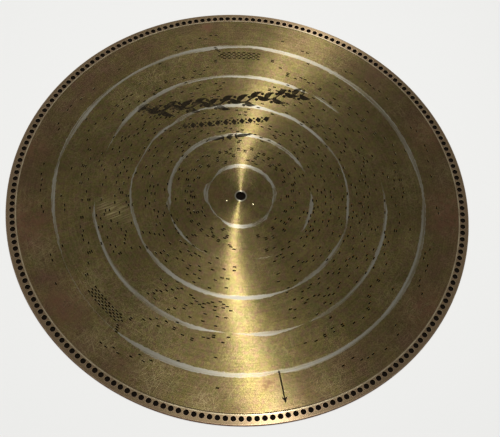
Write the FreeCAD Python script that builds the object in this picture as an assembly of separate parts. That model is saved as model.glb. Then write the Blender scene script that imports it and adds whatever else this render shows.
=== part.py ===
import FreeCAD, Part
import math
import os
import random

# Tune disc of a disc music box. Millimetres, Z up, label side up, axis on Z, resting on its lip at z = 0.
# The start mark of the tune lies near -Y, the front.

# Sheet
disc_diameter = 622.3
sheet_thickness = 0.75
spindle_hole_diameter = 13.2

# Rim: a band pressed down below the web, and a lip turned down round its edge
band_drop = 1.2
step_inner_radius = 0.8
step_slope_length = 0.47
lip_depth = 3.0
lip_inner_radius = 0.7

# One ring of drive holes in the band, with flat lands between the holes and the bends on either side
drive_hole_count = 200
drive_hole_diameter = 6.8
outer_land = 3.5
inner_land = 1.65
start_angle = -73.2

# Shallow dimples round the spindle hole
dimple_count = 3
dimple_circle_radius = 20.5
dimple_diameter = 2.6
dimple_depth = 0.25
dimple_angle = 89.0

# Note slots, and the hook-shaped projections bent down out of them
slot_length = 4.4
slot_width = 1.45
shear_clearance = 0.05
hook_inner_radius = 0.3
hook_straight = 0.45
slot_gap = 0.6

# Tracks: one for each star wheel of the machine, from the first out to the edge of the web
first_track_radius = 54.6
track_edge_clearance = 12.9
track_count = 92

# Time grid of the tune, with a silent stretch at its end where the disc is changed
silent_angle = 13.5
lead_in_steps = 6
intro_bars = 10
verse_bars = 19
verse_count = 2
bar_steps = 4

# Voices of the tune: where the middle track of each lies, as a share of all tracks, how far and how
# slowly its line swings in tracks and steps, and how often extra notes sound
bass_share = 0.054
tenor_share = 0.26
middle_share = 0.49
treble_share = 0.70
top_share = 0.92
long_swing = 4.0
long_swing_steps = 38
short_swing = 2.5
short_swing_steps = 11
chord_roots = (-2, 1, 2, -2, 3, 1, 2)
chord_tones = (-9, -7, -5, -2, 0, 2, 5, 7, 9)
chord_size = 2
top_tones = (-2, 0, 1)
bass_chance = 0.24
tenor_chance = 0.72
middle_chance = 0.75
treble_chance = 0.22
top_chance = 0.55
tune_seed = 11

# The trill: close rows of slots over a few steps
trill_share = 0.75
trill_rows = 5
trill_start = 47
trill_steps = 8
trill_stagger = 0.5
trill_lead = 4
trill_lead_step = 0.2
trill_rest = 2

cut_margin = 1.0

# Levels up from the table
half_sheet = sheet_thickness / 2
band_top = lip_depth
band_middle = band_top - half_sheet
web_top = band_top + band_drop
web_middle = web_top - half_sheet
web_bottom = web_top - sheet_thickness

# Places that follow from the sizes
disc_radius = disc_diameter / 2
spindle_hole_radius = spindle_hole_diameter / 2
drive_hole_radius = drive_hole_diameter / 2
drive_circle_radius = disc_radius - sheet_thickness - lip_inner_radius - outer_land - drive_hole_radius
band_inner_radius = drive_circle_radius - drive_hole_radius - inner_land
last_track_radius = band_inner_radius - track_edge_clearance
track_pitch = (last_track_radius - first_track_radius) / (track_count - 1)
hook_outer_radius = hook_inner_radius + sheet_thickness
same_track_spacing = slot_length + hook_outer_radius + slot_gap

# Tracks and steps of the tune
bass_track = round(bass_share * track_count)
tenor_track = round(tenor_share * track_count)
middle_track = round(middle_share * track_count)
treble_track = round(treble_share * track_count)
top_track = round(top_share * track_count)
trill_track = round(trill_share * track_count)
tune_steps = (intro_bars + verse_count * verse_bars) * bar_steps
time_step_angle = (360 - silent_angle) / (lead_in_steps + tune_steps)


def vector(x, z):
    return FreeCAD.Vector(x, 0, z)


def on_circle(centre, radius, angle):
    turn = math.radians(angle)
    return (centre[0] + radius * math.cos(turn), centre[1] + radius * math.sin(turn))


def arc(centre, radius, start, end):
    points = [on_circle(centre, radius, angle) for angle in (start, (start + end) / 2, end)]
    return Part.Arc(*[vector(*point) for point in points]).toShape()


def line(start, end):
    return Part.makeLine(vector(*start), vector(*end))


def face_of(edges):
    return Part.Face(Part.Wire(Part.__sortEdges__(edges)))


def sheet_side(offset):
    # One side of the sheet in section, from the spindle hole to the edge of the lip. The step turns
    # down and back by the same angle, the one at which its bends and its slope make up the drop.
    step_radius = step_inner_radius + half_sheet
    reach = math.hypot(2 * step_radius, step_slope_length)
    lean = math.atan2(2 * step_radius, step_slope_length)
    bend = lean + math.asin((band_drop - 2 * step_radius) / reach)
    step_run = 2 * step_radius * math.sin(bend) + step_slope_length * math.cos(bend)
    upper_centre = (band_inner_radius - step_run, web_middle - step_radius)
    lower_centre = (band_inner_radius, band_middle + step_radius)
    lip_radius = lip_inner_radius + half_sheet
    lip_centre = (disc_radius - half_sheet - lip_radius, band_middle - lip_radius)
    upper = step_radius + offset
    lower = step_radius - offset
    steep = 90 - math.degrees(bend)
    hole_edge = (spindle_hole_radius, web_middle + offset)
    upper_start = (upper_centre[0], web_middle + offset)
    lower_end = (lower_centre[0], band_middle + offset)
    lip_start = (lip_centre[0], band_middle + offset)
    lip_end = (disc_radius - half_sheet + offset, lip_centre[1])
    lip_edge = (lip_end[0], 0)
    return [
        line(hole_edge, upper_start),
        arc(upper_centre, upper, 90, steep),
        line(on_circle(upper_centre, upper, steep), on_circle(lower_centre, lower, 180 + steep)),
        arc(lower_centre, lower, 180 + steep, 270),
        line(lower_end, lip_start),
        arc(lip_centre, lip_radius + offset, 90, 0),
        line(lip_end, lip_edge),
    ]


def sheet_blank():
    edges = sheet_side(half_sheet) + sheet_side(-half_sheet)
    edges.append(line((spindle_hole_radius, web_bottom), (spindle_hole_radius, web_top)))
    edges.append(line((disc_radius - sheet_thickness, 0), (disc_radius, 0)))
    return face_of(edges).revolve(FreeCAD.Vector(0, 0, 0), FreeCAD.Vector(0, 0, 1), 360)


dice = random.Random(tune_seed)


def track_radius(track):
    return first_track_radius + track * track_pitch


def melody(step):
    # The line of the tune, in tracks up or down from the middle track of a voice.
    long_wave = long_swing * math.sin(math.tau * step / long_swing_steps)
    short_wave = short_swing * math.sin(math.tau * step / short_swing_steps + 1)
    return round(long_wave + short_wave)


def strike(notes, track, step):
    # Adds a note unless its track is off the disc or still busy.
    if not 0 <= track < track_count:
        return
    angle = start_angle + (lead_in_steps + step) * time_step_angle
    wait = math.degrees(same_track_spacing / track_radius(track))
    played = notes.setdefault(track, [])
    if all(abs(angle - other) >= wait for other in played):
        played.append(angle)


def chord(chance, middle, root):
    # Some tones of a chord, spread round the middle track of a voice.
    tones = []
    for _ in range(chord_size):
        if dice.random() < chance:
            tones.append(middle + root + dice.choice(chord_tones))
    return tones


def phrase(bars, trill_from):
    # The notes of some bars as (track, step), with none but the low voices under a trill.
    notes = []
    for step in range(bars * bar_steps):
        bar, beat = divmod(step, bar_steps)
        root = chord_roots[bar % len(chord_roots)]
        tune = melody(step)
        sounding = chord(bass_chance, bass_track, root)
        sounding += chord(tenor_chance, tenor_track, root)
        if beat == 0:
            sounding += [bass_track + root, bass_track + root + 1]
        if not trill_from - trill_rest <= step < trill_from + trill_steps:
            sounding += chord(middle_chance, middle_track, root)
            sounding += chord(treble_chance, treble_track, root)
            if dice.random() < middle_chance:
                sounding.append(middle_track + tune)
            if beat % 2 == 0:
                sounding.append(treble_track + tune)
            if beat == 0 and bar % 3:
                sounding.append(treble_track + tune + 1)
            if dice.random() < top_chance and bar % 4:
                sounding.append(top_track + tune // 2 + dice.choice(top_tones))
        notes += [(track, step) for track in sounding]
    return notes


def trill():
    notes = []
    for row in range(trill_rows):
        for count in range(trill_steps):
            notes.append((trill_track + row, trill_start + count + trill_stagger * (row % 2)))
    for count in range(trill_lead):
        step = trill_start + trill_steps + trill_lead_step * count
        notes.append((trill_track + trill_rows + count, step))
    return notes


def tune_notes():
    # Every note as (track, angle), track by track: an opening, then the same verse over again.
    opening = phrase(intro_bars, intro_bars * bar_steps + trill_steps)
    verse = trill() + phrase(verse_bars, trill_start)
    notes = {}
    for track, step in opening:
        strike(notes, track, step)
    for turn in range(verse_count):
        start = (intro_bars + turn * verse_bars) * bar_steps
        for track, step in verse:
            strike(notes, track, start + step)
    return [(track, angle) for track in sorted(notes) for angle in sorted(notes[track])]


def placed(shape, track, angle):
    # Puts a shape drawn at the root of a slot, with X along the slot, at a note on the disc.
    radius = track_radius(track)
    cosine = math.cos(math.radians(angle))
    sine = math.sin(math.radians(angle))
    root_x = radius * cosine - slot_length / 2 * sine
    root_y = radius * sine + slot_length / 2 * cosine
    matrix = FreeCAD.Matrix(sine, cosine, 0, root_x, -cosine, sine, 0, root_y, 0, 0, 1, 0, 0, 0, 0, 1)
    copy = shape.copy()
    copy.Placement = FreeCAD.Placement(matrix)
    return copy


def slot_cutter():
    height = sheet_thickness + 2 * cut_margin
    corner = FreeCAD.Vector(0, -slot_width / 2, web_bottom - cut_margin)
    return Part.makeBox(slot_length, slot_width, height, corner)


def projection():
    # A strip bent down from the root of its slot and back under the web, its tip against the underside.
    bend = hook_inner_radius + half_sheet
    outer = hook_outer_radius
    inner = hook_inner_radius
    upper = (0, web_middle - bend)
    lower = (0, upper[1] - hook_straight)
    section = face_of([
        line((0, web_bottom), (0, web_top)),
        arc(upper, outer, 90, 0),
        line((outer, upper[1]), (outer, lower[1])),
        arc(lower, outer, 0, -180),
        line((-outer, lower[1]), (-outer, web_bottom)),
        line((-outer, web_bottom), (-inner, web_bottom)),
        line((-inner, web_bottom), (-inner, lower[1])),
        arc(lower, inner, -180, 0),
        line((inner, lower[1]), (inner, upper[1])),
        arc(upper, inner, 0, 90),
    ])
    width = slot_width - 2 * shear_clearance
    section.translate(FreeCAD.Vector(0, -width / 2, 0))
    return section.extrude(FreeCAD.Vector(0, width, 0))


def drive_hole_cutters():
    height = sheet_thickness + 2 * cut_margin
    cutters = []
    for hole in range(drive_hole_count):
        angle = start_angle + hole * 360 / drive_hole_count
        x, y = on_circle((0, 0), drive_circle_radius, angle)
        base = FreeCAD.Vector(x, y, band_top - sheet_thickness - cut_margin)
        cutters.append(Part.makeCylinder(drive_hole_radius, height, base))
    return cutters


def dimple_cutters():
    ball_radius = (dimple_diameter ** 2 / 4 + dimple_depth ** 2) / (2 * dimple_depth)
    cutters = []
    for dimple in range(dimple_count):
        x, y = on_circle((0, 0), dimple_circle_radius, dimple_angle + dimple * 360 / dimple_count)
        centre = FreeCAD.Vector(x, y, web_top - dimple_depth + ball_radius)
        cutters.append(Part.makeSphere(ball_radius, centre))
    return cutters


def tune_sheet(notes):
    slot = slot_cutter()
    cutters = [placed(slot, track, angle) for track, angle in notes]
    cutters += drive_hole_cutters()
    cutters += dimple_cutters()
    return sheet_blank().cut(Part.makeCompound(cutters))


notes = tune_notes()
hook = projection()
parts = {"tune_sheet": tune_sheet(notes)}

# The projections in equal groups of tracks, from the innermost track outwards
names = ("bass", "tenor", "middle", "treble", "top")
for group, name in enumerate(names):
    hooks = [placed(hook, *note) for note in notes if note[0] * len(names) // track_count == group]
    parts[name + "_projections"] = Part.makeCompound(hooks)

os.makedirs("parts", exist_ok=True)
for name, shape in parts.items():
    shape.exportStep("parts/" + name + ".step")
    print(name, len(shape.Solids), round(shape.Volume, 1))
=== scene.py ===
import math
import random
from functools import partial

import bmesh
import bpy
from mathutils import Matrix, Vector


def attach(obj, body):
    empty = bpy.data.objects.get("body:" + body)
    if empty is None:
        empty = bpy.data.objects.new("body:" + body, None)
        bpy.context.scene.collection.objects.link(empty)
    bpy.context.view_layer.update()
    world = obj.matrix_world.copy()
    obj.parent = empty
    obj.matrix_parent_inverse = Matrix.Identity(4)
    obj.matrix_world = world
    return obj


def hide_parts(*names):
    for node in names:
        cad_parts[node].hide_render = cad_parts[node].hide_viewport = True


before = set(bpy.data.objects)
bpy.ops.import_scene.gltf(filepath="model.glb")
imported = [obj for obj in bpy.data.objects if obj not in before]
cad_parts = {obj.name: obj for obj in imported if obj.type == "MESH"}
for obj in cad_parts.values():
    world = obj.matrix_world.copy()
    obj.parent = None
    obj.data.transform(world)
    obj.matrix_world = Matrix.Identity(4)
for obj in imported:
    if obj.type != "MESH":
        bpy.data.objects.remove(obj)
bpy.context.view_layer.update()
mm = 0.001
print("frame loaded")


# Small helpers

def rgba(hexColour):
    # sRGB hex to the linear colour that a socket wants
    channels = [int(hexColour[i:i + 2], 16) / 255 for i in (1, 3, 5)]
    linear = [c / 12.92 if c <= 0.04045 else ((c + 0.055) / 1.055) ** 2.4 for c in channels]
    return (*linear, 1.0)


def addNode(tree, kind, links=None, output=0, **settings):
    # Adds a node, fills its sockets with values or other nodes' outputs, and hands back one of its outputs
    made = tree.nodes.new("ShaderNode" + kind)
    for name, value in settings.items():
        setattr(made, name, value)
    for socket, value in (links or {}).items():
        if isinstance(value, bpy.types.NodeSocket):
            tree.links.new(value, made.inputs[socket])
        else:
            made.inputs[socket].default_value = value
    return made.outputs[output] if made.outputs else None


def newObject(name, bm):
    mesh = bpy.data.meshes.new(name)
    bm.to_mesh(mesh)
    bm.free()
    made = bpy.data.objects.new(name, mesh)
    bpy.context.collection.objects.link(made)
    return made


def stamp(target, template, places):
    # Puts a copy of a small shape at every place
    for place in places:
        known = len(target.verts)
        target.from_mesh(template)
        target.verts.ensure_lookup_table()
        bmesh.ops.transform(target, matrix=place, verts=target.verts[known:])


def applyModifiers(piece):
    evaluated = piece.evaluated_get(bpy.context.evaluated_depsgraph_get())
    piece.data = bpy.data.meshes.new_from_object(evaluated)
    piece.modifiers.clear()


def cutOut(piece, cutter):
    # Takes the cutter out of the piece for good
    cut = piece.modifiers.new("cut", "BOOLEAN")
    cut.operation = "DIFFERENCE"
    cut.solver = "MANIFOLD"
    cut.object = cutter
    applyModifiers(piece)


def creaseEdges(bm, angle):
    # Smooth bends, sharp corners, and level faces that keep their plain upward shading
    for face in bm.faces:
        face.smooth = True
    for edge in bm.edges:
        level = {abs(face.normal.z) > 0.99999 for face in edge.link_faces}
        edge.smooth = len(level) == 1 and edge.calc_face_angle(math.pi) < math.radians(angle)


def polarPlace(radius, angle):
    # From a shape drawn at the origin to its place on the disc, its X outwards
    return Matrix.Rotation(math.radians(angle), 4, "Z") @ Matrix.Translation((radius * mm, 0, 0))


# The tune: the same rules and seed as the solids, so that slots and hooks lie where they do. Lengths are in
# mm and angles in degrees.

tune = {
    "seed": 11,
    "startAngle": -73.2,
    "silentAngle": 13.5,
    "leadIn": 6,
    "introBars": 10,
    "verseBars": 19,
    "verses": 2,
    "barSteps": 4,
    "firstTrack": 54.6,
    "lastTrack": 284.85,
    "tracks": 92,
    "longSwing": (4.0, 38),   # tracks up and down, and steps for one swing
    "shortSwing": (2.5, 11),
    "chordRoots": (-2, 1, 2, -2, 3, 1, 2),
    "chordTones": (-9, -7, -5, -2, 0, 2, 5, 7, 9),
    "chordSize": 2,
    "topTones": (-2, 0, 1),
    "voices": {"bass": 5, "tenor": 24, "middle": 45, "treble": 64, "top": 85},
    "chances": {"bass": 0.24, "tenor": 0.72, "middle": 0.75, "treble": 0.22, "top": 0.55},
    "trillTrack": 69,
    "trillRows": 5,
    "trillStart": 47,
    "trillSteps": 8,
    "trillStagger": 0.5,
    "trillLead": 4,
    "trillLeadStep": 0.2,
    "trillRest": 2,
}
hook = {
    "slotLength": 4.4,
    "slotWidth": 1.45,
    "shear": 0.05,         # gap on each side of the tongue
    "innerRadius": 0.3,    # of both its bends
    "straight": 0.45,      # run between them
    "slotGap": 0.6,        # least sheet between a hook and the next slot
    "bendSteps": 4,
    "curlSteps": 6,
    "creaseAngle": 40,
}
sheet = {
    "radius": 311.15,
    "thickness": 0.75,
    "spindleRadius": 6.6,
    "webTop": 4.2,
    "bandTop": 3.0,
    "bandInner": 297.75,
    "stepRadius": 0.8,
    "stepAngle": 50.0,
    "lipRadius": 0.7,
    "driveHoles": 200,
    "driveHoleRadius": 3.4,
    "driveCircle": 302.8,
    "dimples": 3,
    "dimpleCircle": 20.5,
    "dimpleRadius": 1.3,
    "dimpleDepth": 0.25,
    "dimpleAngle": 89.0,
    "spinSteps": 480,
    "bendSegments": 5,
    "holeSegments": 32,
    "ballSegments": (48, 32),
    "creaseAngle": 28,
    "punchRoll": 0.2,    # rolled-over edge that the punch leaves
    "punchBelow": 2,     # reach of the punches under the top of the sheet
    "punchAbove": 1,     # and over it
    "ink": 0.02,         # room left above the sheet for the printed film
}
dice = random.Random(tune["seed"])
tune["timeStep"] = (360 - tune["silentAngle"]) / (
    tune["leadIn"] + (tune["introBars"] + tune["verses"] * tune["verseBars"]) * tune["barSteps"]
)
tune["trackPitch"] = (tune["lastTrack"] - tune["firstTrack"]) / (tune["tracks"] - 1)


def trackRadius(track):
    return tune["firstTrack"] + track * tune["trackPitch"]


def melody(step):
    waves = (tune["longSwing"], 0), (tune["shortSwing"], 1)
    return round(sum(swing * math.sin(math.tau * step / steps + lead) for (swing, steps), lead in waves))


def strike(notes, track, step):
    # Adds a note unless its track is off the disc or still busy
    if not 0 <= track < tune["tracks"]:
        return
    angle = tune["startAngle"] + (tune["leadIn"] + step) * tune["timeStep"]
    hookReach = hook["innerRadius"] + sheet["thickness"]
    wait = math.degrees((hook["slotLength"] + hookReach + hook["slotGap"]) / trackRadius(track))
    played = notes.setdefault(track, [])
    if all(abs(angle - other) >= wait for other in played):
        played.append(angle)


def chord(voice, root):
    tones = []
    for _ in range(tune["chordSize"]):
        if dice.random() < tune["chances"][voice]:
            tones.append(tune["voices"][voice] + root + dice.choice(tune["chordTones"]))
    return tones


def phrase(bars, trillFrom):
    # The notes of some bars as (track, step), with none but the low voices under a trill
    voices = tune["voices"]
    notes = []
    for step in range(bars * tune["barSteps"]):
        bar, beat = divmod(step, tune["barSteps"])
        root = tune["chordRoots"][bar % len(tune["chordRoots"])]
        line = melody(step)
        sounding = chord("bass", root)
        sounding += chord("tenor", root)
        if beat == 0:
            sounding += [voices["bass"] + root, voices["bass"] + root + 1]
        if not trillFrom - tune["trillRest"] <= step < trillFrom + tune["trillSteps"]:
            sounding += chord("middle", root)
            sounding += chord("treble", root)
            if dice.random() < tune["chances"]["middle"]:
                sounding.append(voices["middle"] + line)
            if beat % 2 == 0:
                sounding.append(voices["treble"] + line)
            if beat == 0 and bar % 3:
                sounding.append(voices["treble"] + line + 1)
            if dice.random() < tune["chances"]["top"] and bar % 4:
                sounding.append(voices["top"] + line // 2 + dice.choice(tune["topTones"]))
        notes += [(track, step) for track in sounding]
    return notes


def trill():
    notes = []
    for row in range(tune["trillRows"]):
        for count in range(tune["trillSteps"]):
            step = tune["trillStart"] + count + tune["trillStagger"] * (row % 2)
            notes.append((tune["trillTrack"] + row, step))
    for count in range(tune["trillLead"]):
        step = tune["trillStart"] + tune["trillSteps"] + tune["trillLeadStep"] * count
        notes.append((tune["trillTrack"] + tune["trillRows"] + count, step))
    return notes


def tuneNotes():
    # Every note as (track, angle): an opening, then the same verse over again
    opening = phrase(tune["introBars"], tune["introBars"] * tune["barSteps"] + tune["trillSteps"])
    verse = trill() + phrase(tune["verseBars"], tune["trillStart"])
    notes = {}
    for track, step in opening:
        strike(notes, track, step)
    for turn in range(tune["verses"]):
        start = (tune["introBars"] + turn * tune["verseBars"]) * tune["barSteps"]
        for track, step in verse:
            strike(notes, track, start + step)
    return [(track, angle) for track in sorted(notes) for angle in sorted(notes[track])]


def slotPlace(note):
    # From a shape drawn at the root of a slot, X along the slot, to its place on the disc
    track, angle = note
    root = Matrix.Translation((0, hook["slotLength"] / 2 * mm, 0))
    return polarPlace(trackRadius(track), angle) @ root @ Matrix.Rotation(math.radians(-90), 4, "Z")


notes = tuneNotes()
webTop = sheet["webTop"] - sheet["ink"]
print("tune laid out:", len(notes), "notes")


# Finishes. Patterns are laid on the disc's own plane, with sizes in mm from its axis.

wear = {
    "edge": 1.2,         # mm over which a wear ring fades out
    "ragged": 0.8,       # mm by which its edges wander
    "widest": 10.0,      # mm, what white stands for on a ring's ramp
    "streaks": (3.4, 13),   # streaks along it: mm across, and how many in a turn
    "rings": {           # radius: round the disc, the angle, the width and the shift outwards
        46.3: (
            (0, 5.2, -1), (12, 5.8, 0), (32, 4.6, 1), (40, 6.4, 0), (130, 6.4, 1), (146, 2.2, -1),
            (160, 2.8, -1), (168, 6.4, 1), (178, 7.4, 1), (196, 5.4, 0), (206, 2.3, -2),
            (238, 2.6, -2.3), (257, 6.2, 0), (322, 6.1, -0.6), (332, 3.1, -2), (354, 3.2, -2),
        ),
        97.0: (
            (0, 6.0, -1), (13, 0, -1), (25, 0, 0), (42, 5.2, -1), (74, 5.4, 0), (118, 6.4, 1),
            (140, 6.6, 2), (166, 5.4, 0), (181, 6.4, 0), (187, 3.0, -2), (194, 7.0, 0.5),
            (202, 1.0, 1.5), (222, 4.5, 1), (240, 1.4, 1), (258, 0, 0), (284, 0, -3), (294, 2.1, -1.2),
            (304, 0, 0), (332, 0, -1), (347, 6.2, -1),
        ),
        146.6: (
            (0, 4.4, -1.2), (29, 2.2, 1), (42, 4.6, -1), (68, 6.0, 0), (76, 4.0, -2), (84, 6.2, -0.8),
            (95, 7.0, 0), (110, 5.2, -0.6), (118, 3.0, 1.5), (130, 6.8, 0.6), (137, 3.8, -0.5),
            (144, 6.3, 1), (151, 3.2, 1.8), (163, 2.6, -1), (179, 2.2, 2), (206, 5.6, -1.3),
            (214, 2.8, 0), (228, 6.2, 0.5), (285, 6.2, 1), (302, 1.8, 1.5), (312, 6.2, 0),
            (334, 6.0, 0), (347, 2.6, 1.2),
        ),
        197.2: (
            (0, 5.0, 0), (17, 0, -2), (49, 0, 0), (54, 5.0, 0), (61, 5.6, 1), (65, 0, 0),
            (71, 5.0, -1.5), (81, 7.0, -0.8), (104, 4.5, 0), (126, 6.0, 1.4), (147, 7.0, 1),
            (168, 0, -3), (189, 0, -3), (196, 4.6, 0), (206, 4.2, -1.5), (234, 7.4, -0.7),
            (258, 6.2, 0), (272, 0, -2), (286, 7.0, 1), (301, 0, 1), (307, 5.8, 1),
        ),
        249.2: (
            (0, 6.6, -0.5), (8, 3.8, 1.2), (23, 7.0, -0.5), (84, 7.0, 0), (92, 4.8, 1.6),
            (108, 7.4, -0.6), (136, 4.4, -1), (158, 7.8, 0.4), (175, 3.4, 2.2), (183, 6.0, 1),
            (201, 4.0, -1.6), (209, 1.2, -0.8), (236, 1.0, 0), (248, 8.0, -0.6), (281, 6.2, 0.4),
            (286, 4.2, -1.5), (292, 7.8, 0.3), (321, 5.2, -0.8), (332, 7.8, -0.3),
        ),
    },
}
lacquer = {
    "brown": "#373019",       # gold varnish where it is thick and brown with age
    "gold": "#4F4626",        # and where it is thin
    "olive": "#3A371C",       # greenish patches
    "darkestTone": "#2A2314",       # darkest tone, laid in large soft places at the sides near the rim
    "tarnishAndShade": "#443226",     # pinkish brown that shows through it near the rim; laid most of all at the sides, as painted shade where the reflection is dark
    "cloud": 70,              # mm, size of the uneven tone
    "mottle": 5.5,            # mm, of the spots in it
    "speck": 2.2,             # mm, of its finest specks, drawn as coarse as they need to show
    "tarnishFrom": (225, 275),   # mm from the axis, over which it sets in
    "brushed": (1.3, 25),     # polishing lines in its colour: mm across, and how many in a turn
    "glossy": (1.1, 60),      # and in its gloss
    "roughness": 0.22,
    "hubRoughness": 0.19,
    "polished": (40, 160),    # mm from the axis, over which the hub's roughness turns into the web's
    "rustRoughness": 0.28,    # added where it is rusty
    "bareRoughness": 0.26,    # and where it is rubbed bare
    "speckHeight": 0.012,     # mm
    "scratchDepth": 0.01,     # mm
    "steel": "#6E6B61",       # steel rubbed bare by the rollers
    "rust": "#4A2D1E",
    "hairline": "#857956",    # bright hairline scratches
    "hub": (5.0, 8.4),        # mm, ring polished by the spindle's collar
    "hubBare": 0.6,           # and how bare it is
    "worn": (-0.35, 1.05),    # mm past the fold beside the drive holes, painted pale there as a highlight along the fold
    "paintedFoldHighlight": "#8A8068",
    "dimples": ((-31, 20.5, 3.2, 0.55), (-151, 20.5, 3.2, 0.4)),   # painted glints in two of them
    "dimple": "#D8CFAE",
    "band": "#61523F",
    # pale pink round the drive holes, partly rubbed and partly a painted highlight, and along the lip, a
    # painted highlight
    "lip": "#7C6757",
    # dark red of the lip's outer edge and side: painted shade
    "rimShade": "#4E2A1A",
    "halo": 0.9,              # mm of bare metal round each drive hole, its pale partly a painted highlight on the rim
    "warp": -0.24,            # saddle that the old sheet has taken, per metre
    "hubWarp": 0.022,         # and the turn back toward the hub
    "dish": 0.21,             # hollow of the whole sheet, per metre
    "grazing": "#C9C4B9",     # keeps the varnish golden when it is seen at a low angle
    # angle and radius of the middle of each rusty place, its size in mm and its strength
    "rusty": (
        (2, 292, 110, 0.75), (-28, 290, 90, 0.6), (28, 288, 80, 0.5), (196, 285, 100, 0.7),
        (172, 290, 70, 0.55), (222, 275, 90, 0.6), (180, 27, 44, 0.45), (106, 288, 24, 0.9),
        (-77, 262, 26, 0.5), (247, 285, 60, 0.4),
    ),
    # the same for the darkest tone, and for places felted with scratches
    "dark": ((8, 255, 330, 0.5), (-28, 270, 240, 0.4), (35, 265, 200, 0.4), (172, 280, 200, 0.35)),
    "scuffed": (
        (142, 221, 90, 0.45), (130, 232, 80, 0.45), (119, 240, 70, 0.4), (-138, 228, 120, 0.45),
        (-124, 270, 100, 0.5), (-107, 270, 110, 0.55), (-155, 272, 90, 0.4), (-61, 277, 80, 0.4),
        (-30, 240, 80, 0.3), (-93, 285, 70, 0.5), (-118, 215, 190, 0.4),
    ),
    # hairline scratches: direction in degrees, width and length in mm, and how rare they are
    "scratches": (
        (24, 0.7, 40, 0.68), (71, 0.7, 50, 0.69), (118, 0.7, 35, 0.68), (163, 0.8, 45, 0.7),
        (5, 0.8, 11, 0.68), (50, 0.8, 12, 0.68), (95, 0.8, 10, 0.68), (140, 0.8, 12, 0.68),
    ),
    "sway": (25, 3),          # mm, how often a hairline bends and how far
    # angle, radius, size and strength of the places rubbed to fine stripes
    "rubbed": ((-165, 169, 50, 0.9), (-168, 182, 38, 0.7), (-161, 156, 32, 0.6)),
    "stripes": {"size": 1.2, "stretch": 26, "turned": -32},
}
# Colour pairs of the other finishes, from the darker to the lighter, and the sizes in mm of their patterns
backFinish = {"dull": "#5C5342", "thin": "#7A7058", "cloud": 60, "speck": 2.6, "rustSize": 22}
cutFinish = {"stained": "#34200A", "clean": "#5A401C", "stain": 5}
# The pale of the rolled edges is partly rubbed steel, partly painted glints
edgeFinishAndGlint = {"varnished": "#463D24", "rubbed": "#A39978", "patch": 7}
# Browns of the tongues: stained steel, darkened as painted shade of the slot
tongueFinishAndShade = {
    "stained": "#261605", "clean": "#38230B", "stain": 3,
    "struck": "#8F897A", "belly": (2.3, 1.85),   # mm up, where the belly starts to show bare and is bare
}
inkFinish = {"black": "#120E08", "grey": "#1F1910", "flake": 1.5, "rubbed": 11, "uneven": 4}


def discCoordinates(node):
    # Radius in mm, share of a turn from +X, and the level direction out from the axis
    place = node("TexCoord", output="Object")
    x = node("SeparateXYZ", {0: place}, output=0)
    y, z = x.node.outputs[1], x.node.outputs[2]
    level = node("CombineXYZ", {"X": x, "Y": y})
    length = node("VectorMath", {0: level}, operation="LENGTH", output="Value")
    radius = node("Math", {0: length, 1: 1 / mm}, operation="MULTIPLY")
    angle = node("Math", {0: y, 1: x}, operation="ARCTAN2")
    turn = node("Math", {0: angle, 1: 1 / math.tau, 2: 1}, operation="MULTIPLY_ADD")
    share = node("Math", {0: turn}, operation="FRACT")
    outward = node("VectorMath", {0: level}, operation="NORMALIZE")
    return {"place": place, "x": x, "y": y, "z": z, "radius": radius, "share": share, "outward": outward}


def grain(node, disc, size, detail=3.0, roughness=0.6, stretch=1, turned=0.0, seed=0.0):
    # Noise with features of a given size in mm, drawn out along one direction if stretched
    laid = node("Mapping", {"Vector": disc["place"], "Rotation": (0, 0, math.radians(turned))})
    scaled = node("Mapping", {
        "Vector": laid,
        "Location": (seed, seed * 0.7, seed * 0.3),
        "Scale": (1 / (size * stretch * mm), 1 / (size * mm), 1 / (size * mm)),
    })
    return node("TexNoise", {"Vector": scaled, "Scale": 1.0, "Detail": detail, "Roughness": roughness})


def patches(node, disc, size, low, high, dim=0.0, full=1.0, **settings):
    # Uneven patches: dim where the grain is under one level, full where it is over another
    return node("MapRange", {0: grain(node, disc, size, **settings), 1: low, 2: high, 3: dim, 4: full})


def aroundAxis(node, disc, across, around, detail=2.0):
    # Noise in concentric streaks: its size across them in mm, and how many times it changes in a turn
    spread = node("VectorMath", {0: disc["outward"], "Scale": around / math.tau}, operation="SCALE")
    rise = node("Math", {0: disc["radius"], 1: 1 / across}, operation="MULTIPLY")
    lifted = node("CombineXYZ", {"Z": rise})
    joined = node("VectorMath", {0: spread, 1: lifted}, operation="ADD")
    return node("TexNoise", {"Vector": joined, "Scale": 1.0, "Detail": detail, "Roughness": 0.6})


def insideBounds(node, value, low, high, soft):
    # White where a value lies between two bounds, fading over a soft edge
    rise = node("MapRange", {0: value, 1: low - soft, 2: low + soft}, interpolation_type="SMOOTHSTEP")
    fall = node("MapRange", {0: value, 1: high + soft, 2: high - soft}, interpolation_type="SMOOTHSTEP")
    return node("Math", {0: rise, 1: fall}, operation="MULTIPLY")


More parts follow.
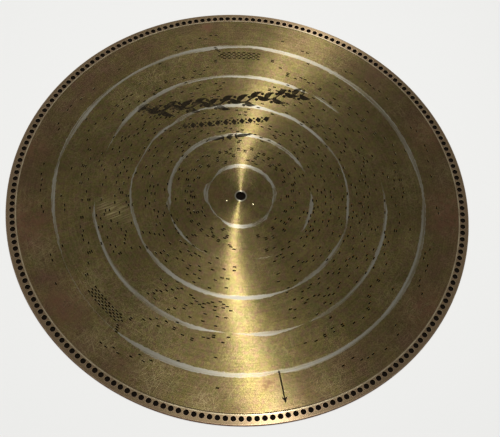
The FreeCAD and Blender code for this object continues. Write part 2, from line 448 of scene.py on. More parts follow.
def wearRings(node, disc):
    # Pale rings that the guide rollers rub, each with its own width and wander round the disc
    ragged = patches(node, disc, 6, 0.25, 0.75, -wear["ragged"], wear["ragged"], detail=4)
    total = None
    for radius, stops in wear["rings"].items():
        ramp = node("ValToRGB", {0: disc["share"]})
        elements = ramp.node.color_ramp.elements
        for count, (angle, width, shift) in enumerate((*stops, (360, *stops[0][1:]))):
            element = elements[count] if count < 2 else elements.new(angle / 360)
            element.position = angle / 360
            element.color = (width / wear["widest"], 0.5 + shift / wear["widest"], 0, 1)
        width = node("SeparateColor", {0: ramp})
        inner, outer = radius - wear["widest"] / 2, radius + wear["widest"] / 2
        middle = node("MapRange", {0: width.node.outputs[1], 3: inner, 4: outer})
        strayed = node("Math", {0: middle, 1: ragged}, operation="ADD")
        off = node("Math", {0: disc["radius"], 1: strayed}, operation="SUBTRACT")
        away = node("Math", {0: off}, operation="ABSOLUTE")
        half = node("Math", {0: width, 1: wear["widest"] / 2}, operation="MULTIPLY")
        inside = node("Math", {0: half, 1: away}, operation="SUBTRACT")
        soft = {0: inside, 1: -wear["edge"] * 0.1, 2: wear["edge"] * 0.9}
        ring = node("MapRange", soft, interpolation_type="SMOOTHSTEP")
        total = ring if total is None else node("Math", {0: total, 1: ring}, operation="MAXIMUM")
    streaks = aroundAxis(node, disc, *wear["streaks"], detail=3)
    streaks = node("MapRange", {0: streaks, 1: 0.4, 2: 0.56, 3: 0.25, 4: 1.0})
    faded = patches(node, disc, 45, 0.35, 0.6, 0.7, 1.0, detail=4, seed=17)
    streaks = node("Math", {0: streaks, 1: faded}, operation="MULTIPLY")
    return node("Math", {0: total, 1: streaks}, operation="MULTIPLY")


def coats(node, ground, *layers):
    # Colours laid one over another on a ground, each where its mask is white
    for mask, colour in layers:
        ground = node("Mix", {0: mask, 6: ground, 7: colour}, data_type="RGBA", output=2)
    return ground


def softSpots(node, disc, places):
    # Soft round spots, each given by its angle, radius, size in mm and strength
    total = None
    for angle, radius, size, strength in places:
        middle = polarPlace(radius, angle).translation + Vector((0, 0, webTop * mm))
        away = node("VectorMath", {0: disc["place"], 1: middle}, operation="DISTANCE", output="Value")
        spot = node("MapRange", {0: away, 1: size * mm / 2, 2: size * mm / 8, 3: 0, 4: strength})
        total = spot if total is None else node("Math", {0: total, 1: spot}, operation="MAXIMUM")
    return total


def scratchMarks(node, disc):
    # Hairline scratches every way across the sheet, and one patch rubbed to stripes
    place = disc["place"]
    bend, reach = lacquer["sway"]
    sway = node("TexNoise", {"Vector": place, "Scale": 1 / (bend * mm), "Detail": 2.0}, output="Color")
    sway = node("VectorMath", {0: sway, 1: (0.5, 0.5, 0.5)}, operation="SUBTRACT")
    sway = node("VectorMath", {0: sway, 1: (reach * mm, reach * mm, 0), 2: place}, operation="MULTIPLY_ADD")
    swayed = {"place": sway}
    total = None
    for count, (turned, width, length, rare) in enumerate(lacquer["scratches"]):
        seed = count * 13.0
        lines = grain(node, swayed, width, detail=1.5, stretch=length / width, turned=turned, seed=seed)
        marks = node("MapRange", {0: lines, 1: rare - 0.1, 2: rare + 0.06})
        total = marks if total is None else node("Math", {0: total, 1: marks}, operation="MAXIMUM")
    scuffed = patches(node, disc, 40, 0.4, 0.65, 0.08, 0.26, detail=5, seed=21)
    places = softSpots(node, disc, lacquer["scuffed"])
    scuffed = node("Math", {0: scuffed, 1: places}, operation="MAXIMUM")
    total = node("Math", {0: total, 1: scuffed}, operation="MULTIPLY")
    stripes = patches(node, disc, low=0.44, high=0.7, detail=3, seed=5, **lacquer["stripes"])
    patch = node("Math", {0: softSpots(node, disc, lacquer["rubbed"]), 1: stripes}, operation="MULTIPLY")
    return node("Math", {0: total, 1: patch}, operation="MAXIMUM")


def holeHalos(node, disc):
    # Varnish worn off round the drive holes, its pale partly a painted highlight on their rims: the ring of
    # holes is folded onto one hole
    shift = (-tune["startAngle"] / 360 * sheet["driveHoles"] + 0.5) % 1
    pitches = node("Math", {0: disc["share"], 1: sheet["driveHoles"], 2: shift}, operation="MULTIPLY_ADD")
    folded = node("Math", {0: pitches}, operation="FRACT")
    pitch = math.tau * sheet["driveCircle"] / sheet["driveHoles"]
    sideways = node("MapRange", {0: folded, 3: -pitch / 2, 4: pitch / 2})
    outwards = node("Math", {0: disc["radius"], 1: sheet["driveCircle"]}, operation="SUBTRACT")
    local = node("CombineXYZ", {"X": sideways, "Y": outwards})
    away = node("VectorMath", {0: local}, operation="LENGTH", output="Value")
    worn, clean = sheet["driveHoleRadius"] + 0.2, sheet["driveHoleRadius"] + lacquer["halo"]
    halo = node("MapRange", {0: away, 1: clean, 2: worn, 3: 0, 4: 0.75})
    uneven = patches(node, disc, 14, 0.35, 0.6, 0.3, 1, seed=9)
    return node("Math", {0: halo, 1: uneven}, operation="MULTIPLY")


def lacquerLayers(node, disc):
    # The label side from its varnish up: colour, roughness, height, and what is rusty or bare
    mottle = lacquer["mottle"]
    cloud = patches(node, disc, lacquer["cloud"], 0.3, 0.7, detail=6, roughness=0.7)
    green = patches(node, disc, mottle * 4, 0.46, 0.58, 0, 0.75, detail=7, roughness=0.72, seed=19)
    mottle = patches(node, disc, mottle, 0.44, 0.62, 0, 0.7, detail=4, roughness=0.65, seed=3)
    near, far = lacquer["tarnishFrom"]
    outside = node("MapRange", {0: disc["radius"], 1: near, 2: far, 3: -0.3, 4: 0.55})
    # Stronger at the sides along X, where the reflection is dark: painted shade
    sideways = node("SeparateXYZ", {0: disc["outward"]}, output=0)
    sideways = node("Math", {0: sideways}, operation="ABSOLUTE")
    sideways = node("MapRange", {0: sideways, 1: 0.2, 2: 0.75, 3: 0.3, 4: 1})
    outside = node("Math", {0: outside, 1: sideways}, operation="MULTIPLY")
    uneven = patches(node, disc, 26, 0.38, 0.62, -0.45, 0.45, detail=8, roughness=0.75, seed=15)
    outside = node("Math", {0: outside, 1: uneven}, operation="ADD", use_clamp=True)
    tarnishedAndShaded = node("Math", {0: mottle, 1: outside}, operation="MAXIMUM")
    colour = coats(
        node, rgba(lacquer["brown"]),
        (cloud, rgba(lacquer["gold"])),
        (green, rgba(lacquer["olive"])),
        (tarnishedAndShaded, rgba(lacquer["tarnishAndShade"])),
        (softSpots(node, disc, lacquer["dark"]), rgba(lacquer["darkestTone"])),
    )
    speck = patches(node, disc, lacquer["speck"], 0.3, 0.7, 0.66, 1.34, detail=4, roughness=0.7, seed=7)
    brushed = aroundAxis(node, disc, *lacquer["brushed"], detail=5)
    brushed = node("MapRange", {0: brushed, 1: 0.3, 2: 0.7, 3: 0.78, 4: 1.22})
    shade = node("Math", {0: speck, 1: brushed}, operation="MULTIPLY")
    colour = node("VectorMath", {0: colour, "Scale": shade}, operation="SCALE")

    broken = patches(node, disc, 9, 0.35, 0.62, detail=6, roughness=0.7, seed=11)
    rust = node("Math", {0: softSpots(node, disc, lacquer["rusty"]), 1: broken}, operation="MULTIPLY")
    scratched = scratchMarks(node, disc)

    hub = insideBounds(node, disc["radius"], *lacquer["hub"], 0.6)
    hub = node("Math", {0: hub, 1: lacquer["hubBare"]}, operation="MULTIPLY")
    bare = node("Math", {0: wearRings(node, disc), 1: hub}, operation="MAXIMUM")
    foldInner, rim = sheet["bandInner"], sheet["radius"]
    onBand = node("MapRange", {0: disc["radius"], 1: foldInner - 1.6, 2: foldInner, 3: 0, 4: 0.65})
    # A pale line along the fold beside the drive holes: painted highlight
    corner = insideBounds(node, disc["radius"], *(foldInner + past for past in lacquer["worn"]), 0.5)
    patchy = patches(node, disc, 16, 0.35, 0.6, 0.25, 0.8, detail=4, seed=23)
    corner = node("Math", {0: corner, 1: patchy}, operation="MULTIPLY")
    # A pale band along the lip's bend: painted highlight
    lip = node("MapRange", {0: disc["radius"], 1: rim - 1.6, 2: rim - 0.4, 3: 0, 4: 0.85})
    edge = node("Math", {0: holeHalos(node, disc), 1: lip}, operation="MAXIMUM")
    # The outer edge of the lip's bend, and its side by height, painted dark red: painted shade
    shadedOutline = node("MapRange", {0: disc["radius"], 1: rim - 0.9, 2: rim - 0.3, 3: 0, 4: 0.85})
    side = node("MapRange", {0: disc["z"], 1: 2.6 * mm, 2: 1.8 * mm, 3: 0, 4: 0.8})
    colour = coats(
        node, colour,
        (rust, rgba(lacquer["rust"])),
        (scratched, rgba(lacquer["hairline"])),
        (bare, rgba(lacquer["steel"])),
        (onBand, rgba(lacquer["band"])),
        (corner, rgba(lacquer["paintedFoldHighlight"])),
        (softSpots(node, disc, lacquer["dimples"]), rgba(lacquer["dimple"])),
        (edge, rgba(lacquer["lip"])),
        (shadedOutline, rgba(lacquer["rimShade"])),
        (side, rgba(lacquer["rimShade"])),
    )
    bare = node("Math", {0: bare, 1: edge}, operation="MAXIMUM")

    rough = aroundAxis(node, disc, *lacquer["glossy"])
    rough = node("MapRange", {0: rough, 1: 0.3, 2: 0.7, 3: -0.02, 4: 0.02})
    near, far = lacquer["polished"]
    hubRough, outerRough = lacquer["hubRoughness"], lacquer["roughness"]
    polish = node("MapRange", {0: disc["radius"], 1: near, 2: far, 3: hubRough, 4: outerRough})
    rough = node("Math", {0: rough, 1: polish}, operation="ADD")
    rough = node("Math", {0: rust, 1: lacquer["rustRoughness"], 2: rough}, operation="MULTIPLY_ADD")
    rough = node("Math", {0: bare, 1: lacquer["bareRoughness"], 2: rough}, operation="MULTIPLY_ADD")
    height = node("Math", {0: speck, 1: lacquer["speckHeight"] * mm}, operation="MULTIPLY")
    depth = lacquer["scratchDepth"] * mm
    height = node("Math", {0: scratched, 1: -depth, 2: height}, operation="MULTIPLY_ADD")
    return {"colour": colour, "rough": rough, "height": height, "rust": rust, "bare": bare}


def warpedNormal(node, disc, height):
    # The saddle turns the reflections a little, and the fine height breaks them up
    saddle = node("Math", {0: disc["x"], 1: disc["y"]}, operation="MULTIPLY")
    turnedBack = node("Math", {0: lacquer["hubWarp"] / mm, 1: disc["radius"]}, operation="DIVIDE")
    bend = node("Math", {0: turnedBack, 1: lacquer["warp"]}, operation="ADD")
    saddle = node("Math", {0: saddle, 1: bend}, operation="MULTIPLY")
    square = node("Math", {0: disc["radius"], 1: disc["radius"]}, operation="MULTIPLY")
    saddle = node("Math", {0: square, 1: lacquer["dish"] * mm * mm, 2: saddle}, operation="MULTIPLY_ADD")
    bent = node("Bump", {"Strength": 1.0, "Distance": 1.0, "Height": saddle})
    return node("Bump", {"Strength": 1.0, "Distance": 1.0, "Height": height, "Normal": bent})


def newFinish(name):
    finish = bpy.data.materials.new(name)
    finish.use_nodes = True
    finish.node_tree.nodes.clear()
    return finish, partial(addNode, finish.node_tree)


def goldLacquerOnSteel():
    # Rolled steel sheet, polished on a wheel and varnished gold: the fine rings round the axis draw the
    # light into a narrow bow tie
    finish, node = newFinish("goldLacquerOnSteel")
    disc = discCoordinates(node)
    layers = lacquerLayers(node, disc)
    shader = node("BsdfPrincipled", {
        "Base Color": layers["colour"],
        "Metallic": node("MapRange", {0: layers["rust"], 3: 1.0, 4: 0.6}),
        "Roughness": layers["rough"],
        "Specular Tint": rgba(lacquer["grazing"]),
        "Anisotropic": 1.0,
        "Anisotropic Rotation": 0.25,
        "Tangent": node("Tangent", direction_type="RADIAL", axis="Z"),
        "Normal": warpedNormal(node, disc, layers["height"]),
    })
    node("OutputMaterial", {"Surface": shader})
    return finish


def undersideLacquer():
    # The same varnish on the back, thinner and duller, with a greyer tone and spots of rust
    finish, node = newFinish("undersideLacquer")
    disc = discCoordinates(node)
    cloud = patches(node, disc, backFinish["cloud"], 0.35, 0.65, detail=5, seed=31)
    colour = coats(node, rgba(backFinish["dull"]), (cloud, rgba(backFinish["thin"])))
    speck = patches(node, disc, backFinish["speck"], 0.3, 0.7, 0.75, 1.15, detail=4, seed=33)
    colour = node("VectorMath", {0: colour, "Scale": speck}, operation="SCALE")
    rust = patches(node, disc, backFinish["rustSize"], 0.56, 0.68, 0, 0.8, detail=6, roughness=0.7, seed=35)
    height = node("Math", {0: speck, 1: 0.015 * mm}, operation="MULTIPLY")
    shader = node("BsdfPrincipled", {
        "Base Color": coats(node, colour, (rust, rgba(lacquer["rust"]))),
        "Metallic": node("MapRange", {0: rust, 3: 0.95, 4: 0.5}),
        "Roughness": node("MapRange", {0: speck, 1: 0.75, 2: 1.15, 3: 0.5, 4: 0.4}),
        "Specular Tint": rgba(lacquer["grazing"]),
        "Normal": node("Bump", {"Strength": 1.0, "Distance": 1.0, "Height": height}),
    })
    node("OutputMaterial", {"Surface": shader})
    return finish


def shearedSteel():
    # Steel cut by the punch: bare, stained brown in the cut
    finish, node = newFinish("shearedSteel")
    disc = discCoordinates(node)
    stain = patches(node, disc, cutFinish["stain"], 0.35, 0.65, detail=4, seed=41)
    shader = node("BsdfPrincipled", {
        "Base Color": coats(node, rgba(cutFinish["stained"]), (stain, rgba(cutFinish["clean"]))),
        "Metallic": 1.0,
        "Roughness": node("MapRange", {0: stain, 3: 0.55, 4: 0.35}),
    })
    node("OutputMaterial", {"Surface": shader})
    return finish


def rolledEdge():
    # The upper edge of each cut, rolled over by the punch and rubbed pale, its pale patches partly painted
    # glints
    finish, node = newFinish("rolledEdge")
    disc = discCoordinates(node)
    rubbed = patches(node, disc, edgeFinishAndGlint["patch"], 0.45, 0.7, detail=3, seed=45)
    shader = node("BsdfPrincipled", {
        "Base Color": coats(node, rgba(edgeFinishAndGlint["varnished"]), (rubbed, rgba(edgeFinishAndGlint["rubbed"]))),
        "Metallic": 1.0,
        "Roughness": 0.3,
    })
    node("OutputMaterial", {"Surface": shader})
    return finish


def bentTongueSteel():
    # Tongues bent out of the same sheet: dull varnish, painted dark brown as the shade in the slot, rubbed
    # bright on the belly that strikes
    finish, node = newFinish("bentTongueSteel")
    disc = discCoordinates(node)
    stain = patches(node, disc, tongueFinishAndShade["stain"], 0.35, 0.65, detail=4, seed=51)
    fades, bares = tongueFinishAndShade["belly"]
    belly = node("MapRange", {0: disc["z"], 1: fades * mm, 2: bares * mm})
    uneven = patches(node, disc, 1.2, 0.3, 0.55, 0.2, 1, seed=53)
    struck = node("Math", {0: belly, 1: uneven}, operation="MULTIPLY")
    colour = coats(
        node, rgba(tongueFinishAndShade["stained"]),
        (stain, rgba(tongueFinishAndShade["clean"])),
        (struck, rgba(tongueFinishAndShade["struck"])),
    )
    shader = node("BsdfPrincipled", {
        "Base Color": colour,
        "Metallic": 1.0,
        "Roughness": node("MapRange", {0: struck, 3: 0.45, 4: 0.28}),
    })
    node("OutputMaterial", {"Surface": shader})
    return finish


def stampedInk():
    # Black ink stamped on the varnish: thin, satin, and flaked so that the varnish shows through
    finish, node = newFinish("stampedInk")
    disc = discCoordinates(node)
    layers = lacquerLayers(node, disc)
    flakes = patches(node, disc, inkFinish["flake"], 0.6, 0.66, detail=4, roughness=0.7, seed=61)
    rubbed = patches(node, disc, inkFinish["rubbed"], 0.54, 0.7, 0, 0.6, detail=4, seed=63)
    gone = node("Math", {0: flakes, 1: rubbed}, operation="MAXIMUM")
    worn = node("Math", {0: layers["bare"], 1: 0.5}, operation="MULTIPLY")
    gone = node("Math", {0: gone, 1: worn}, operation="MAXIMUM")
    uneven = grain(node, disc, inkFinish["uneven"], seed=65)
    colour = coats(
        node, rgba(inkFinish["black"]),
        (uneven, rgba(inkFinish["grey"])),
        (gone, layers["colour"]),
    )
    shader = node("BsdfPrincipled", {
        "Base Color": colour,
        "Metallic": gone,
        "Roughness": node("MapRange", {0: gone, 3: 0.6, 4: lacquer["roughness"]}),
        "Specular IOR Level": 0.05,
        "Specular Tint": rgba(lacquer["grazing"]),
        "Normal": warpedNormal(node, disc, layers["height"]),
    })
    node("OutputMaterial", {"Surface": shader})
    return finish


print("finishes ready")


# Sheet: one profile from the spindle hole to the lip, rounded at its bends and spun about the axis

def drawProfile(bm):
    # The label side of the sheet in section; the step slopes between two bends of equal angle
    bend = math.radians(sheet["stepAngle"])
    outerBend = sheet["stepRadius"] + sheet["thickness"]
    lowCorner = sheet["bandInner"] - sheet["stepRadius"] * math.tan(bend / 2)
    highCorner = lowCorner - (sheet["webTop"] - sheet["bandTop"]) / math.tan(bend)
    corners = (
        (sheet["spindleRadius"], webTop),
        (highCorner, webTop),
        (lowCorner, sheet["bandTop"]),
        (sheet["radius"], sheet["bandTop"]),
        (sheet["radius"], 0),
    )
    verts = [bm.verts.new((x * mm, 0, z * mm)) for x, z in corners]
    for start, end in zip(verts, verts[1:]):
        bm.edges.new((start, end))
    lipBend = sheet["lipRadius"] + sheet["thickness"]
    cuts = (outerBend * math.tan(bend / 2), sheet["stepRadius"] * math.tan(bend / 2), lipBend)
    for corner, cut in zip(verts[1:4], cuts):
        bmesh.ops.bevel(
            bm, geom=[corner], offset=cut * mm, affect="VERTICES",
            segments=sheet["bendSegments"], profile=0.5, material=-1,
        )


def sheetBlank():
    bm = bmesh.new()
    drawProfile(bm)
    bmesh.ops.spin(
        bm, geom=bm.verts[:] + bm.edges[:], cent=(0, 0, 0), axis=(0, 0, 1),
        angle=math.tau, steps=sheet["spinSteps"], use_merge=True,
    )
    bmesh.ops.remove_doubles(bm, verts=bm.verts[:], dist=0.001 * mm)
    bmesh.ops.recalc_face_normals(bm, faces=bm.faces[:])
    if sum(face.normal.z * face.calc_area() for face in bm.faces) < 0:
        bmesh.ops.reverse_faces(bm, faces=bm.faces[:])
    blank = newObject("tuneSheet", bm)
    wall = blank.modifiers.new("wall", "SOLIDIFY")
    wall.thickness = sheet["thickness"] * mm
    wall.offset = -1
    wall.use_even_offset = True
    applyModifiers(blank)
    return blank


def punch(bm, growX, growY):
    # Takes the top of a cutter up through the sheet, and wider there by the edge that the punch rolls over
    top = max(bm.faces, key=lambda face: face.calc_center_median().z)
    for rise, wideX, wideY in ((sheet["punchRoll"], growX, growY), (sheet["punchAbove"], 1, 1)):
        top = bmesh.ops.extrude_discrete_faces(bm, faces=[top])["faces"][0]
        bmesh.ops.translate(bm, verts=top.verts[:], vec=(0, 0, rise * mm))
        bmesh.ops.scale(bm, verts=top.verts[:], vec=(wideX, wideY, 1))
    mesh = bpy.data.meshes.new("punch")
    bm.to_mesh(mesh)
    bm.free()
    return mesh


def slotPunch():
    # The root end of the slot stays square, where the tongue bends down out of the sheet
    roll = sheet["punchRoll"]
    low, high = webTop - sheet["punchBelow"], webTop - roll
    length, width = hook["slotLength"], hook["slotWidth"]
    bm = bmesh.new()
    middle = Matrix.Translation((length / 2 * mm, 0, (low + high) / 2 * mm))
    bmesh.ops.create_cube(bm, size=mm, matrix=middle @ Matrix.Diagonal((length, width, high - low, 1)))
    return punch(bm, (length + roll) / length, (width + 2 * roll) / width)


def driveHolePunch():
    roll = sheet["punchRoll"]
    low, high = sheet["bandTop"] - sheet["punchBelow"], sheet["bandTop"] - roll
    radius = sheet["driveHoleRadius"]
    bm = bmesh.new()
    bmesh.ops.create_cone(
        bm, cap_ends=True, segments=sheet["holeSegments"], radius1=radius * mm, radius2=radius * mm,
        depth=(high - low) * mm, matrix=Matrix.Translation((0, 0, (low + high) / 2 * mm)),
    )
    grow = (radius + roll) / radius
    return punch(bm, grow, grow)


def dimpleBall():
    # The ball that leaves a dimple of a given radius and depth in the top of the sheet
    depth = sheet["dimpleDepth"]
    radius = (sheet["dimpleRadius"] ** 2 + depth ** 2) / (2 * depth)
    segments, rings = sheet["ballSegments"]
    bm = bmesh.new()
    middle = Matrix.Translation((0, 0, (webTop - depth + radius) * mm))
    bmesh.ops.create_uvsphere(bm, u_segments=segments, v_segments=rings, radius=radius * mm, matrix=middle)
    mesh = bpy.data.meshes.new("ball")
    bm.to_mesh(mesh)
    bm.free()
    return mesh


def evenRing(count, radius, start):
    return [polarPlace(radius, start + place * 360 / count) for place in range(count)]


def allPunches():
    bm = bmesh.new()
    stamp(bm, slotPunch(), [slotPlace(note) for note in notes])
    stamp(bm, driveHolePunch(), evenRing(sheet["driveHoles"], sheet["driveCircle"], tune["startAngle"]))
    stamp(bm, dimpleBall(), evenRing(sheet["dimples"], sheet["dimpleCircle"], sheet["dimpleAngle"]))
    return newObject("punches", bm)


def paintSheet(piece):
    # Label side, underside, the edges that the punch sheared, and those that it rolled over at 45 degrees.
    # The middle of the lip's bend slopes as they do and is painted pale like them, a painted highlight
    # along the lip.
    piece.data.materials.clear()
    for finish in (goldLacquerOnSteel(), undersideLacquer(), shearedSteel(), rolledEdge()):
        piece.data.materials.append(finish)
    bm = bmesh.new()
    bm.from_mesh(piece.data)
    for face in bm.faces:
        middle = face.calc_center_median()
        outwards = face.normal.xy.dot(middle.xy.normalized())
        onLip = middle.xy.length > (sheet["radius"] - sheet["thickness"] * 2) * mm
        if face.normal.z < -0.3 or (onLip and outwards < -0.3):
            face.material_index = 1
        elif abs(face.normal.z) < 0.5 and not onLip:
            face.material_index = 2
        elif abs(face.normal.z - math.sqrt(0.5)) < 0.02 and face.calc_area() < 2 * mm * mm:
            face.material_index = 3
        else:
            face.material_index = 0
    creaseEdges(bm, sheet["creaseAngle"])
    bm.to_mesh(piece.data)
    bm.free()


tuneSheet = sheetBlank()
punches = allPunches()
cutOut(tuneSheet, punches)
paintSheet(tuneSheet)
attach(tuneSheet, "root")
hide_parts("tune_sheet")
print("sheet punched:", len(tuneSheet.data.polygons), "faces")


# Projections: the tongue of each slot bent down and curled back under the sheet

def drawTongue():
    # The end face is swept: a quarter turn down, straight, half a turn back, and straight up to the sheet
    half = hook["slotWidth"] / 2 - hook["shear"]
    bendHeight = webTop - sheet["thickness"] - hook["innerRadius"]
    bm = bmesh.new()
    low, high = webTop - sheet["thickness"], webTop
    corners = ((-half, low), (half, low), (half, high), (-half, high))
    verts = [bm.verts.new((0, y * mm, z * mm)) for y, z in corners]
    root = bm.faces.new(verts)
    reach = hook["straight"] + hook["innerRadius"]
    moves = (
        (bendHeight, 90, hook["bendSteps"], 0),
        (0, 0, 1, -hook["straight"]),
        (bendHeight - hook["straight"], 180, hook["curlSteps"], 0),
        (0, 0, 1, reach),
    )
    end = [root, *root.edges, *root.verts]
    for height, angle, steps, rise in moves:
        end = bmesh.ops.spin(
            bm, geom=end, cent=(0, 0, height * mm), axis=(0, 1, 0), angle=math.radians(angle),
            steps=steps, dvec=(0, 0, rise * mm),
        )["geom_last"]
    bmesh.ops.remove_doubles(bm, verts=bm.verts[:], dist=0.001 * mm)
    bmesh.ops.recalc_face_normals(bm, faces=bm.faces[:])
    mesh = bpy.data.meshes.new("tongue")
    bm.to_mesh(mesh)
    bm.free()
    return mesh


tongue = drawTongue()
tongueSteel = bentTongueSteel()
groups = ("bass", "tenor", "middle", "treble", "top")   # equal groups of tracks, from the inside outwards
for group, groupName in enumerate(groups):
    grouped = [note for note in notes if note[0] * len(groups) // tune["tracks"] == group]
    bm = bmesh.new()
    stamp(bm, tongue, [slotPlace(note) for note in grouped])
    creaseEdges(bm, hook["creaseAngle"])
    projections = newObject(groupName + "Projections", bm)
    projections.data.materials.append(tongueSteel)
    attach(projections, "root")
    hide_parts(groupName + "_projections")
print("projections bent")


# Printing: a leafy garland, a chain of lozenges, a swelled rule, and the arrow at the start of the tune

printing = {
    "finest": 0.05,      # mm, half the width at which a stroke ends
    "rollSteps": 3,
    "strokeSteps": 12,
    "garland": {
        "start": (-153.0, 100.1), "end": (78.5, 165.4), "height": 30,
        "waves": 6, "wave": 3.8, "waveSteps": 24, "stemHalf": 1.8,
        "leaves": 4, "leaf": 18.5, "leafHalf": 4.0, "leafTurn": 58, "droop": 0.55, "uneven": 0.12,
        "berry": 2.4, "berryAt": (1.5, 5.2),   # along the stem and out from it
    },
    "chain": {
        "start": (-93.0, 93.7), "end": (29.9, 123.6), "height": 11,
        "lozenges": 11, "share": 0.36, "margin": 0.6,   # share of a bay that half a lozenge takes
        "dot": 1.5, "dotAside": 2.7,
    },
    "rule": {
        "start": (-51.0, 76.7), "end": (4.2, 93.4), "height": 12,
        "lozengeHalf": 5.0, "margin": 1, "gap": 7.5, "half": 1.0, "swell": 1.6, "dot": 2.0,
        "leafAt": 8, "leaf": 6, "leafHalf": 1.3, "leafTurn": 30,
    },
    "arrow": {
        "tail": 248.5, "tip": 288.7, "shaft": 1.9, "headWide": 7.4, "headLong": 8.4, "notch": 2.0,
        "headLow": -0.3, "headThick": 0.9,     # before it is pressed flat
        "spot": (2.2, 1.6), "spotAhead": 0.6,   # half the length and half the width of the spot at its tail
    },
}
inkFilm = stampedInk()


def lineOf(entry):
    # Length of a printed line and its place on the sheet, X along it
    start, end = Vector(entry["start"]), Vector(entry["end"])
    along = end - start
    turned = Matrix.Rotation(math.atan2(along.y, along.x), 4, "Z")
    return along.length, Matrix.Translation((start.x * mm, start.y * mm, 0)) @ turned


def brush(curve, place, path, halfWidth, steps):
    # One stroke of the brush: where it goes and how wide it is, from 0 at its start to 1 at its end
    spline = curve.splines.new("POLY")
    spline.points.add(steps)
    for count, point in enumerate(spline.points):
        u, v = path(count / steps)
        point.co = (*(place @ Vector((u * mm, v * mm, 0))), 1)
        point.radius = max(halfWidth(count / steps), printing["finest"])


def leaf(curve, place, root, direction, length, halfWidth, droop=0.0):
    # A tapering leaf that droops to one side
    lean = math.radians(direction)
    brush(
        curve, place,
        lambda t: (
            root[0] + length * t * math.cos(lean + droop * t),
            root[1] + length * t * math.sin(lean + droop * t),
        ),
        lambda t: halfWidth * math.sin(math.pi * t ** 0.6), printing["strokeSteps"],
    )


def dot(curve, place, middle, size):
    brush(
        curve, place, lambda t: (middle[0] - size * math.cos(math.pi * t), middle[1]),
        lambda t: size * math.sin(math.pi * t), printing["strokeSteps"],
    )


def lozenge(curve, place, middle, halfLength, halfHeight):
    brush(
        curve, place, lambda t: (middle[0] + halfLength * (2 * t - 1), middle[1]),
        lambda t: halfHeight * (1 - abs(2 * t - 1)), 2,
    )


def newCurve():
    curve = bpy.data.curves.new("strokes", "CURVE")
    curve.dimensions = "3D"
    curve.bevel_depth = mm
    curve.bevel_resolution = printing["rollSteps"]
    curve.use_fill_caps = True
    return curve


def printFilm(name, mesh, widest):
    # Presses rounded strokes into a film of ink on the sheet, and takes it away over the slots
    bm = bmesh.new()
    bm.from_mesh(mesh)
    bmesh.ops.scale(bm, verts=bm.verts[:], vec=(1, 1, sheet["ink"] * 0.9 / widest))
    bmesh.ops.translate(bm, verts=bm.verts[:], vec=(0, 0, webTop * mm))
    bmesh.ops.remove_doubles(bm, verts=bm.verts[:], dist=0.0005 * mm)
    bmesh.ops.recalc_face_normals(bm, faces=bm.faces[:])
    for face in bm.faces:
        face.smooth = False
    film = newObject(name, bm)
    cutOut(film, punches)
    film.data.materials.clear()
    film.data.materials.append(inkFilm)
    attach(film, "root")
    return film


def pressCurve(name, curve):
    widest = max(point.radius for spline in curve.splines for point in spline.points)
    drawn = bpy.data.objects.new("strokes", curve)
    printFilm(name, bpy.data.meshes.new_from_object(drawn), widest)
    bpy.data.objects.remove(drawn)


def drawGarland():
    # A waving stem with leaves on both sides and a berry between each pair
    entry = printing["garland"]
    length, place = lineOf(entry)
    middle = entry["height"] / 2

    def stem(t):
        return length * t, middle + entry["wave"] * math.sin(math.tau * entry["waves"] * t)

    curve = newCurve()
    stemSteps = entry["waveSteps"] * entry["waves"]
    brush(curve, place, stem, lambda t: entry["stemHalf"] * (1 - 0.5 * t), stemSteps)
    count = entry["waves"] * entry["leaves"]
    ahead, aside = entry["berryAt"]
    for number in range(count):
        side = 1 if number % 2 == 0 else -1
        grown = entry["leaf"] * (1 + entry["uneven"] * math.sin(2.4 * number))
        root = stem((number + 0.2) / count)
        turn, droop = side * entry["leafTurn"], -side * entry["droop"]
        leaf(curve, place, root, turn, grown, entry["leafHalf"], droop)
        u, v = stem((number + 0.75) / count)
        dot(curve, place, (u + ahead, v - side * aside), entry["berry"])
    pressCurve("printedGarland", curve)


def drawChain():
    # Lozenges with a pair of dots between
    entry = printing["chain"]
    length, place = lineOf(entry)
    middle = entry["height"] / 2
    bay = length / entry["lozenges"]
    halfLength, halfHeight = bay * entry["share"], middle - entry["margin"]
    curve = newCurve()
    for count in range(entry["lozenges"]):
        lozenge(curve, place, (bay * (count + 0.5), middle), halfLength, halfHeight)
        if count:
            for side in (-1, 1):
                dot(curve, place, (bay * count, middle + side * entry["dotAside"]), entry["dot"])
    pressCurve("printedChain", curve)


def drawRule():
    # A rule that swells toward a lozenge in its middle
    entry = printing["rule"]
    length, place = lineOf(entry)
    middle = entry["height"] / 2
    reach = length / 2 - entry["leafAt"]
    curve = newCurve()
    lozenge(curve, place, (length / 2, middle), entry["lozengeHalf"], middle - entry["margin"])
    for side in (-1, 1):
        def swelled(t):
            return length / 2 + side * (entry["gap"] + t * reach), middle

        brush(curve, place, swelled, lambda t: entry["half"] + entry["swell"] * math.sin(math.pi * t), 16)
        dot(curve, place, swelled(1.0), entry["dot"])
        root = (length / 2 + side * entry["leafAt"], middle)
        for turn in (90 - side * entry["leafTurn"], -90 + side * entry["leafTurn"]):
            leaf(curve, place, root, turn, entry["leaf"], entry["leafHalf"])
    pressCurve("printedRule", curve)


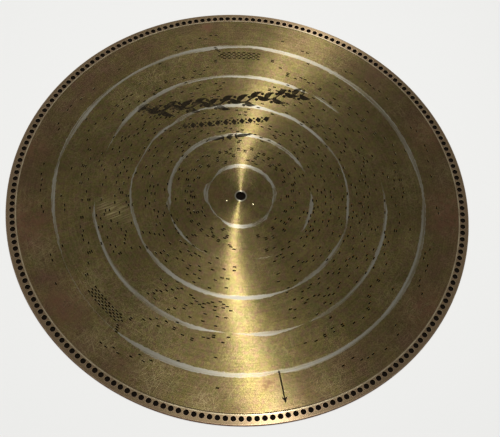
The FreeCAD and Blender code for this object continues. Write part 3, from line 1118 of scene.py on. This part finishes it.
def drawArrow():
    # Marks where the tune starts: the player sets it under the comb
    arrow = printing["arrow"]
    place = polarPlace(0, tune["startAngle"])
    curve = newCurve()
    neck = arrow["tip"] - arrow["headLong"] + arrow["notch"]
    shaft = neck - arrow["tail"]
    brush(curve, place, lambda t: (arrow["tail"] + shaft * t, 0), lambda t: arrow["shaft"] / 2, 1)
    lozenge(curve, place, (arrow["tail"] + arrow["spotAhead"], 0), *arrow["spot"])
    drawn = bpy.data.objects.new("strokes", curve)
    bm = bmesh.new()
    bm.from_mesh(bpy.data.meshes.new_from_object(drawn))
    bpy.data.objects.remove(drawn)
    barb = arrow["tip"] - arrow["headLong"]
    half = arrow["headWide"] / 2
    corners = [(arrow["tip"], 0), (barb, half), (neck, 0), (barb, -half)]
    verts = [bm.verts.new(place @ Vector((x * mm, y * mm, arrow["headLow"] * mm))) for x, y in corners]
    head = bm.faces.new(verts)
    lifted = bmesh.ops.extrude_face_region(bm, geom=[head])
    lifted = [made for made in lifted["geom"] if isinstance(made, bmesh.types.BMVert)]
    bmesh.ops.translate(bm, verts=lifted, vec=(0, 0, arrow["headThick"] * mm))
    mesh = bpy.data.meshes.new("arrow")
    bm.to_mesh(mesh)
    bm.free()
    printFilm("startArrow", mesh, arrow["spot"][1])


drawGarland()
drawChain()
drawRule()
drawArrow()
bpy.data.objects.remove(punches)
print("printing pressed")


# Room: a pale floor with black cloth under the disc, an even sky, and a strip lamp and a softbox overhead

room = {
    "floor": "#EFEFED",
    "reach": 6,       # metres, half its breadth
    "paper": 0.55,    # how much of the floor's own colour is seen whatever light falls on it
    "pad": {"colour": "#0D0804", "radius": 308.5, "height": 0.2},   # mm, black cloth that the disc lies on
    "sky": 1.0,       # strength of the background that is seen
    "fill": 0.1,      # and of its light on the disc
    "strip": {"size": (0.04, 0.8), "place": (0, 0.16, 2.0), "watts": 26},
    "softbox": {"size": (0.7, 1.1), "place": (0, 0.08, 2.0), "watts": 13},
    "camera": {"place": (0, -0.5810, 1.0701), "aim": (0.0157, -0.0324, 0.0042), "roll": 8.15, "lens": 64.8},
}


def backgroundRays(node):
    # White for the rays that see the background itself: from the camera, and by way of metal
    rays = node("LightPath").node.outputs
    seen = node("Math", {0: rays["Is Camera Ray"], 1: rays["Is Glossy Ray"]}, operation="MAXIMUM")
    return node("Math", {0: seen, 1: rays["Is Transmission Ray"]}, operation="MAXIMUM")


def layFloor():
    bm = bmesh.new()
    bmesh.ops.create_grid(bm, x_segments=1, y_segments=1, size=room["reach"])
    floor = newObject("floor", bm)
    # Matt paper: even and without sheen, and partly as pale as its own colour whatever light falls on it
    paper, node = newFinish("matPaper")
    card = node("BsdfPrincipled", {
        "Base Color": rgba(room["floor"]),
        "Roughness": 0.9,
        "Specular IOR Level": 0.1,
    })
    plain = node("Emission", {"Color": rgba(room["floor"]), "Strength": 1.0})
    seen = node("Math", {0: backgroundRays(node), 1: room["paper"]}, operation="MULTIPLY")
    node("OutputMaterial", {"Surface": node("MixShader", {0: seen, 1: card, 2: plain})})
    floor.data.materials.append(paper)
    entry = room["pad"]
    bm = bmesh.new()
    bmesh.ops.create_circle(
        bm, cap_ends=True, segments=128, radius=entry["radius"] * mm,
        matrix=Matrix.Translation((0, 0, entry["height"] * mm)),
    )
    pad = newObject("pad", bm)
    # Black napped cloth, which takes up the light and leaves the holes dark
    cloth, node = newFinish("blackCloth")
    shader = node("BsdfPrincipled", {
        "Base Color": rgba(entry["colour"]),
        "Roughness": 1.0,
        "Specular IOR Level": 0.1,
    })
    node("OutputMaterial", {"Surface": shader})
    pad.data.materials.append(cloth)


def lightRoom():
    world = bpy.data.worlds.new("sky")
    bpy.context.scene.world = world
    world.use_nodes = True
    world.node_tree.nodes.clear()
    node = partial(addNode, world.node_tree)
    strength = node("MapRange", {0: backgroundRays(node), 3: room["fill"], 4: room["sky"]})
    sky = node("Background", {"Color": (1, 1, 1, 1), "Strength": strength})
    node("OutputWorld", {"Surface": sky})

    for name in ("strip", "softbox"):
        entry = room[name]
        lamp = bpy.data.lights.new(name, "AREA")
        lamp.shape = "RECTANGLE"
        lamp.size, lamp.size_y = entry["size"]
        lamp.energy = entry["watts"]
        hung = bpy.data.objects.new(name, lamp)
        hung.location = entry["place"]
        bpy.context.collection.objects.link(hung)


def placeCamera():
    entry = room["camera"]
    lens = bpy.data.cameras.new("camera")
    lens.lens = entry["lens"]
    lens.sensor_width = 36
    camera = bpy.data.objects.new("camera", lens)
    bpy.context.collection.objects.link(camera)
    look = Vector(entry["aim"]) - Vector(entry["place"])
    turned = look.to_track_quat("-Z", "Y").to_matrix().to_4x4()
    rolled = Matrix.Rotation(math.radians(entry["roll"]), 4, "Z")
    camera.matrix_world = Matrix.Translation(entry["place"]) @ turned @ rolled
    bpy.context.scene.camera = camera


layFloor()
lightRoom()
placeCamera()
bpy.context.scene.view_settings.view_transform = "Standard"
print("room lit")
